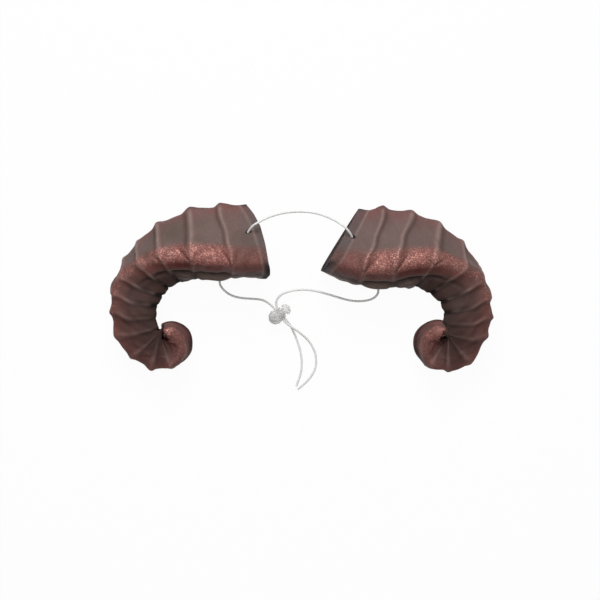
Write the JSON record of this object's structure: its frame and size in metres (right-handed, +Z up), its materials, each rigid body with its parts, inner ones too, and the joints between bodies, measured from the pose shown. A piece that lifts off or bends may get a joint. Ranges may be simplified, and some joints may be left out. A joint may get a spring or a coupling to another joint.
{
  "type": "costume ram horns",
  "caption": "Pair of curled costume ram horns in ribbed latex over foam, threaded on a loop of elastic cord that a sprung cord lock holds at length.",
  "frame": {"origin": "on the table under the middle of the pair, as the horns lie flat", "axes": "+X from the left horn to the right horn, +Y from the curled tips towards the head ends, +Z up from the table"},
  "size_m": [0.3435, 0.1692, 0.0488],
  "materials": {
    "horn_latex": "dry-brushed matt latex with a faint metallic red on the keels",
    "foam": "dark open-cell foam",
    "elastic": "white round elastic, satin",
    "clear_plastic": "clear faceted acrylic",
    "spring_steel": "bright spring wire"
  },
  "bodies": {
    "cord": {"cord_bridge": "elastic", "cord_in_left_horn": "elastic", "cord_in_right_horn": "elastic", "cord_left_leg": "elastic", "cord_right_leg": "elastic", "cord_lock_barrel": "clear_plastic", "cord_lock_spring": "spring_steel"},
    "left_horn": {"left_horn_skin": "horn_latex", "left_foam_core": "foam"},
    "right_horn": {"right_horn_skin": "horn_latex", "right_foam_core": "foam"},
    "plunger": {"cord_lock_plunger": "clear_plastic"}
  },
  "joints": [
    {"name": "left_horn_swivel", "type": "hinge", "parent": "cord", "child": "left_horn", "pos_m": [-0.0469, 0.0508, 0.0416], "axis": [0.4473, 0.6857, 0.5743], "range_deg": [-8, 8]},
    {"name": "right_horn_swivel", "type": "hinge", "parent": "cord", "child": "right_horn", "pos_m": [0.0442, 0.0469, 0.0418], "axis": [-0.4005, 0.7301, 0.5537], "range_deg": [-8, 8]},
    {"name": "plunger_press", "type": "slide", "parent": "cord", "child": "plunger", "axis": [-0.788, -0.6157, 0], "range_m": [0, 0.0016], "stiffness_N_per_m": 600, "springref_m": -0.004, "deforming": ["cord_lock_spring"]}
  ]
}
